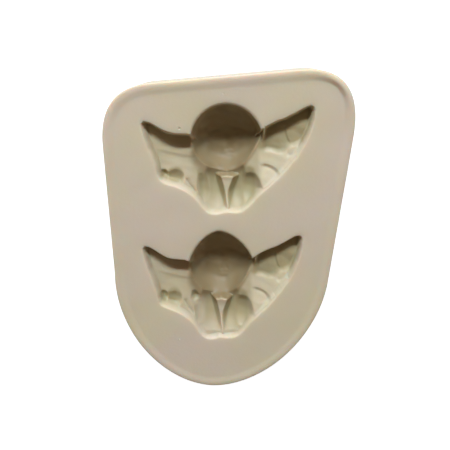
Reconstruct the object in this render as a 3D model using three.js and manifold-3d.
// Silicone mould with two prints of a small winged cherub head. Millimetres, +Z up.
// The mould lies on its flat back with the prints open upwards, and the slanted end points along +Y.
// The origin is the centre of the back.
import * as THREE from "three";
import { mergeVertices } from "three/addons/utils/BufferGeometryUtils.js";
import Module from "manifold-3d";

const wasm = await Module();
wasm.setup();

const degrees = THREE.MathUtils.degToRad;

// Block
const bodyWidth = 88.0;
const bodyLength = 126.0;
const rubberUnderHead = 4.1;
const widestFromEnd = 22.0;
const sideTaper = degrees(3.0);
const wallDraft = 1.0;
const baseRound = 0.8;
const outlineSteps = 120;

// Slanted end: its angle, and how far each corner's curve reaches down the side and along the end
const endSlant = degrees(7.3);
const rightCorner = { side: 25.0, end: 22.0 };
const leftCorner = { side: 20.0, end: 18.0 };

// Rounded end: a superellipse that leans a little to the left
const roundEndLength = 50.5;
const roundEndPower = 1.85;
const roundEndLean = 2.0;
const roundEndSteps = 40;

// Raised lip that the rubber formed where it crept up the wall of its tub. It is low all round and climbs to
// its full height at one corner, where it is also narrower.
const lipHeight = 1.2;
const lipLow = 0.35;
const lipWidth = 4.4;
const lipPeakWidth = 3.0;
const lipCrest = 1.3;
const lipPeak = { x: 36.2, y: 58.7, reach: 8.0 };
const lipRiseSteps = 2;
const lipFallSteps = 3;

// Prints: the middle of each one's wing tips on the face, its turn, its length against the upper one, and
// the power of the head's outline to the slanted end, where 2 is round and less is more pointed
const printFromEnd = 12.9;
const printPitch = 47.8;
const prints = [
  { x: -0.3, fromEnd: printFromEnd, turn: degrees(7.3), stretch: 1.0, crown: 1.95 },
  { x: -0.4, fromEnd: printFromEnd + printPitch, turn: degrees(6.5), stretch: 1.17, crown: 1.62 },
];

// Depths below the face
const leftWingDepth = 5.2;
const rightWingDepth = 4.5;
const headDepth = 13.4;
const lobeDepth = 5.0;
const curlDepth = 4.4;

// How far a print's walls lean in from its mouth to its floor
const wallLean = 1.0;

// How much a feather sinks below the floor it lies on, and the depth that the curls' rims lie at
const featherSink = 0.6;
const curlRim = 2.6;

// Head: a round hollow that gets deeper to the chin. Its middle and its cheeks are less deep than the tip of
// the nose. A small sharpness gives it steep walls and a flat floor.
const faceLift = 1.6;
const cheekLift = 0.8;
const head = { x: -1.0, y: -9.5, halfWidth: 12.8, north: 13.0, south: 12.0, tilt: 0.12, sharpness: 0.22 };

// Height of the face above the flat back
const faceHeight = rubberUnderHead + headDepth;

// Height of the cutting shapes above the face
const overcut = 3.0;

// Mouth of a print, counterclockwise from the left wing's tip: down that wing, along its skirt, round the
// feet, up the right side, and back over both shoulders.
// x runs to the right and y to the slanted end, from the middle of the wing tips.
const leftWing = [
  [-30.4, 0.2], [-30.2, -3.6], [-29.0, -8.6], [-27.4, -13.6], [-26.3, -17.2],
];
const leftSkirt = [
  [-26.4, -20.4], [-24.2, -22.4], [-20.6, -23.9], [-17.2, -25.9], [-14.2, -28.4], [-12.4, -31.0],
];
const feet = [
  [-11.4, -33.6], [-9.4, -35.6], [-6.8, -36.2], [-4.2, -35.6], [-1.4, -36.2], [1.6, -36.2], [4.2, -34.9],
];
const rightSkirt = [
  [6.6, -32.0], [9.2, -29.6], [12.6, -27.4], [15.6, -24.9], [18.6, -21.9], [21.6, -18.7],
];
const rightWing = [
  [24.4, -15.2], [26.6, -11.8], [28.4, -7.8], [29.8, -3.8], [30.3, -0.4], [29.0, 0.5],
];
const rightShoulder = [
  [26.0, -0.9], [22.6, -2.6], [19.4, -3.7], [16.0, -4.6], [12.2, -6.2],
];
const leftShoulder = [
  [-13.8, -6.1], [-17.2, -5.9], [-20.6, -5.3], [-24.0, -3.4], [-27.2, -1.0],
];

// Where the left wing's own deeper floor ends at the middle of the print, and how many points of the left
// skirt it takes in, counted from the wing
const leftWingRoot = [
  [-2.0, -22.0], [-2.0, -10.0],
];
const leftSkirtOnWing = 3;

// Slopes that run in from the skirts and from the feet: a point on the foot of the slope, the direction to
// the middle of the print, the depth at the foot and the steepness
const slopes = [
  { x: -19.4, y: -24.0, towards: degrees(53.0), depth: 1.9, steepness: 0.33 },
  { x: 15.0, y: -23.8, towards: degrees(133.0), depth: 1.8, steepness: 0.33 },
  { x: -3.0, y: -34.6, towards: degrees(90.0), depth: 1.8, steepness: 0.33 },
  { x: 0.0, y: -22.0, towards: degrees(90.0), depth: 4.1, steepness: 0.15 },
];

// Hollows that the rounded parts of the cherub leave. Each is the lower half of an ellipsoid whose rim
// lies at the depth named top and whose lowest point lies at the depth named floor.
const leftFeather = { top: leftWingDepth, floor: leftWingDepth + featherSink };
const rightFeather = { top: rightWingDepth, floor: rightWingDepth + featherSink };
const curlFloor = { top: curlRim, floor: curlDepth };
const lobeFloor = { top: 0, floor: lobeDepth };
const noseFloor = { top: headDepth - faceLift, floor: headDepth };
const cheekFloor = { top: headDepth - 2 * faceLift, floor: headDepth - cheekLift };
const hollows = {
  nose: { x: -0.6, y: -14.6, halfWidth: 1.5, halfLength: 2.4, ...noseFloor },
  leftCheek: { x: -5.4, y: -15.4, halfWidth: 3.6, halfLength: 3.4, ...cheekFloor },
  rightCheek: { x: 4.2, y: -15.4, halfWidth: 3.6, halfLength: 3.4, ...cheekFloor },
  rightCovert: { x: 16.8, y: -11.0, halfWidth: 4.6, halfLength: 3.8, turn: degrees(8), ...rightFeather },
  rightTip: { x: 24.0, y: -8.0, halfWidth: 4.4, halfLength: 3.8, turn: degrees(32), ...rightFeather },
  rightCurl: { x: 12.6, y: -23.6, halfWidth: 4.4, halfLength: 3.8, turn: degrees(-14), ...curlFloor },
  leftCovert: { x: -17.6, y: -10.6, halfWidth: 4.4, halfLength: 3.6, turn: degrees(-14), ...leftFeather },
  leftTip: { x: -24.6, y: -7.6, halfWidth: 4.2, halfLength: 3.2, turn: degrees(-36), ...leftFeather },
  outerCurl: { x: -24.6, y: -19.9, halfWidth: 1.6, halfLength: 2.4, ...curlFloor },
  leftCurl: { x: -20.2, y: -20.4, halfWidth: 3.2, halfLength: 2.9, turn: degrees(-14), ...curlFloor },
  rootCurl: { x: -11.2, y: -22.8, halfWidth: 2.5, halfLength: 3.1, turn: degrees(-8), ...curlFloor },
  outerLeftLobe: { x: -9.2, y: -30.2, halfWidth: 3.2, halfLength: 5.4, ...lobeFloor },
  leftLobe: { x: -5.8, y: -28.8, halfWidth: 3.4, halfLength: 7.0, turn: degrees(-5), ...lobeFloor },
  rightLobe: { x: 0.9, y: -28.8, halfWidth: 3.4, halfLength: 7.0, ...lobeFloor },
  outerRightLobe: { x: 6.2, y: -27.6, halfWidth: 3.2, halfLength: 5.6, turn: degrees(-13), ...lobeFloor },
};
const headSteps = 32;
const roundSteps = 24;
const smallRoundSteps = 16;
const smallHollow = 5.0;

const silicone = new THREE.MeshStandardMaterial({ color: 0xbfb59b, roughness: 0.62, metalness: 0.0 });

// Solids from closed geometries, and back
const toSolid = (geometry) => {
  geometry.deleteAttribute("normal");
  geometry.deleteAttribute("uv");
  const merged = mergeVertices(geometry);
  return new wasm.Manifold(new wasm.Mesh({
    numProp: 3,
    vertProperties: new Float32Array(merged.attributes.position.array),
    triVerts: new Uint32Array(merged.index.array),
  }));
};

const toGeometry = (solid) => {
  const mesh = solid.getMesh();
  const geometry = new THREE.BufferGeometry();
  geometry.setAttribute("position", new THREE.BufferAttribute(mesh.vertProperties, 3));
  geometry.setIndex(new THREE.BufferAttribute(mesh.triVerts, 1));
  geometry.computeVertexNormals();
  return geometry;
};

// Plan outline of the block at its lip, counterclockwise
const endLineY = bodyLength / 2;
const roundEndY = roundEndLength - bodyLength / 2;
const widestY = endLineY - widestFromEnd;

const sideX = (y) => bodyWidth / 2 - (widestY - y) * Math.tan(sideTaper);

const cornerPoint = (side) => {
  const slope = Math.tan(endSlant);
  const y = (endLineY + side * slope * (bodyWidth / 2 - widestY * Math.tan(sideTaper)))
    / (1 - side * slope * Math.tan(sideTaper));
  return new THREE.Vector2(side * sideX(y), y);
};

const cornerEnds = (side, reach) => {
  const corner = cornerPoint(side);
  const alongEnd = new THREE.Vector2(-side * Math.cos(endSlant), -side * Math.sin(endSlant));
  return {
    corner,
    onSide: new THREE.Vector2(side * sideX(corner.y - reach.side), corner.y - reach.side),
    onEnd: corner.clone().addScaledVector(alongEnd, reach.end),
  };
};

const roundEndPoint = (angle) => {
  const across = Math.sign(Math.cos(angle)) * Math.abs(Math.cos(angle)) ** (2 / roundEndPower);
  const along = Math.abs(Math.sin(angle)) ** (2 / roundEndPower);
  const x = sideX(roundEndY) * across - roundEndLean * along;
  return new THREE.Vector2(x, roundEndY - roundEndLength * along);
};

const blockOutline = () => {
  const right = cornerEnds(1, rightCorner);
  const left = cornerEnds(-1, leftCorner);
  const path = new THREE.Path();
  path.moveTo(sideX(roundEndY), roundEndY);
  path.lineTo(right.onSide.x, right.onSide.y);
  path.quadraticCurveTo(right.corner.x, right.corner.y, right.onEnd.x, right.onEnd.y);
  path.lineTo(left.onEnd.x, left.onEnd.y);
  path.quadraticCurveTo(left.corner.x, left.corner.y, left.onSide.x, left.onSide.y);
  for (let step = 0; step <= roundEndSteps; step += 1) {
    const point = roundEndPoint(Math.PI + (Math.PI * step) / roundEndSteps);
    path.lineTo(point.x, point.y);
  }
  return path.getSpacedPoints(outlineSteps).slice(0, outlineSteps);
};

// The outline with each of its points moved inwards by a distance of its own
const inset = (points, distances) => points.map((point, index) => {
  const before = points[(index + points.length - 1) % points.length];
  const after = points[(index + 1) % points.length];
  const along = after.clone().sub(before).normalize();
  return new THREE.Vector2(point.x - along.y * distances[index], point.y + along.x * distances[index]);
});

// A closed body through rings that have as many points and heights each, from the lowest ring up
const loft = (rings) => {
  const count = rings[0].points.length;
  const positions = rings.flatMap(({ points, heights }) => (
    points.flatMap(({ x, y }, index) => [x, y, heights[index]])
  ));
  const triangles = [];
  for (let level = 0; level < rings.length - 1; level += 1) {
    for (let index = 0; index < count; index += 1) {
      const here = level * count + index;
      const next = level * count + ((index + 1) % count);
      triangles.push(here, next, next + count, here, next + count, here + count);
    }
  }
  const lowest = THREE.ShapeUtils.triangulateShape(rings[0].points, []);
  const highest = THREE.ShapeUtils.triangulateShape(rings.at(-1).points, []);
  const lastRing = (rings.length - 1) * count;
  lowest.forEach(([a, b, c]) => triangles.push(c, b, a));
  highest.forEach(([a, b, c]) => triangles.push(lastRing + a, lastRing + b, lastRing + c));
  const geometry = new THREE.BufferGeometry();
  geometry.setAttribute("position", new THREE.Float32BufferAttribute(positions, 3));
  geometry.setIndex(triangles);
  return geometry;
};

// How near the lip is to its full height at a point of the outline
const lipShare = ({ x, y }) => Math.exp(-((Math.hypot(x - lipPeak.x, y - lipPeak.y) / lipPeak.reach) ** 2));

const blend = (from, to, share) => from + (to - from) * share;

// A ring of the block: the outline moved inwards, at a height, both of them functions of the lip's share
const ring = (outline, inwards, height) => {
  const shares = outline.map(lipShare);
  return { points: inset(outline, shares.map(inwards)), heights: shares.map(height) };
};

// Block with its drafted walls and its lip, which climbs from the wall to its crest as a quarter of an
// ellipse and runs down to the face as half a wave
const block = () => {
  const outline = blockOutline();
  const rings = [
    ring(outline, () => wallDraft + baseRound, () => 0),
    ring(outline, () => wallDraft, () => baseRound),
    ring(outline, () => 0, () => faceHeight),
  ];
  for (let step = 1; step <= lipRiseSteps; step += 1) {
    const angle = (step / lipRiseSteps) * (Math.PI / 2);
    rings.push(ring(
      outline,
      () => lipCrest * (1 - Math.cos(angle)),
      (share) => faceHeight + blend(lipLow, lipHeight, share) * Math.sin(angle),
    ));
  }
  for (let step = 1; step <= lipFallSteps; step += 1) {
    const along = step / lipFallSteps;
    rings.push(ring(
      outline,
      (share) => blend(lipCrest, blend(lipWidth, lipPeakWidth, share), along),
      (share) => faceHeight + (blend(lipLow, lipHeight, share) * (1 + Math.cos(along * Math.PI))) / 2,
    ));
  }
  return toSolid(loft(rings));
};

// Flat-floored hollow with leaning walls under a mouth, cut down from the face
const tray = (mouth, depth) => {
  const shape = new THREE.Shape(mouth.map(([x, y]) => new THREE.Vector2(x, y)));
  return toSolid(new THREE.ExtrudeGeometry(shape, {
    depth: overcut,
    steps: 1,
    bevelEnabled: true,
    bevelThickness: depth,
    bevelSize: wallLean,
    bevelOffset: -wallLean,
    bevelSegments: 1,
  }));
};

// Rounded hollow
const bowl = ({ x, y, halfWidth, halfLength, top, floor, turn = 0 }, stretch) => {
  const steps = halfWidth < smallHollow ? smallRoundSteps : roundSteps;
  const geometry = new THREE.SphereGeometry(1, steps, steps / 2);
  geometry.rotateX(Math.PI / 2);
  geometry.scale(halfWidth, halfLength * stretch, floor - top);
  geometry.rotateZ(turn);
  geometry.translate(x, y * stretch, -top);
  return toSolid(geometry);
};

// The head's hollow: a sphere drawn out to the head's outline and pressed to its floor
const headHollow = ({ stretch, crown }) => {
  const geometry = new THREE.SphereGeometry(1, headSteps, headSteps / 2);
  geometry.rotateX(Math.PI / 2);
  const place = geometry.attributes.position;
  for (let index = 0; index < place.count; index += 1) {
    const across = place.getX(index);
    const along = place.getY(index);
    const up = place.getZ(index);
    const radius = Math.hypot(across, along);
    const power = along > 0 ? crown : 2;
    const rounded = (Math.abs(across) ** power + Math.abs(along) ** power) ** (1 / power);
    const reach = rounded > 0 ? radius / rounded : 1;
    const y = along * reach * (along > 0 ? head.north : head.south);
    const floor = headDepth - faceLift - head.tilt * y;
    const z = Math.sign(up) * Math.abs(up) ** (2 * head.sharpness) * floor;
    place.setXYZ(index, head.x + across * reach * head.halfWidth, (head.y + y) * stretch, z);
  }
  return toSolid(geometry);
};

// The whole cherub, as a solid that leaves its print when it is cut from the face
const cherub = (print) => {
  const { stretch } = print;
  const stretched = (points) => points.map(([x, y]) => [x, y * stretch]);
  const left = [...leftWing, ...leftSkirt.slice(0, leftSkirtOnWing), ...leftWingRoot, ...leftShoulder];
  const right = [...feet, ...rightSkirt, ...rightWing, ...rightShoulder];
  const whole = [...leftSkirt, ...right, ...leftShoulder, ...leftWing];
  let solid = tray(stretched(left), leftWingDepth).add(tray(stretched(whole), rightWingDepth));
  slopes.forEach(({ x, y, towards, depth, steepness }) => {
    const uphill = new THREE.Vector3(Math.cos(towards), Math.sin(towards), 0);
    const normal = uphill.multiplyScalar(steepness).setZ(1).normalize();
    const foot = new THREE.Vector3(x, y * stretch, -depth);
    solid = solid.trimByPlane(normal.toArray(), normal.dot(foot));
  });
  solid = solid.add(headHollow(print));
  Object.values(hollows).forEach((hollow) => {
    solid = solid.add(bowl(hollow, stretch));
  });
  return solid;
};

const mould = () => {
  let solid = block();
  prints.forEach((print) => {
    const cutter = cherub(print)
      .rotate([0, 0, THREE.MathUtils.radToDeg(print.turn)])
      .translate([print.x, endLineY - print.fromEnd, faceHeight]);
    solid = solid.subtract(cutter);
  });
  const geometry = toGeometry(solid);
  geometry.computeBoundingBox();
  const middle = geometry.boundingBox.getCenter(new THREE.Vector3());
  geometry.translate(-middle.x, -middle.y, 0);
  return geometry;
};

const body = new THREE.Mesh(mould(), silicone);
body.name = "mould_body";

const angelMould = new THREE.Group();
angelMould.add(body);

export default angelMould;
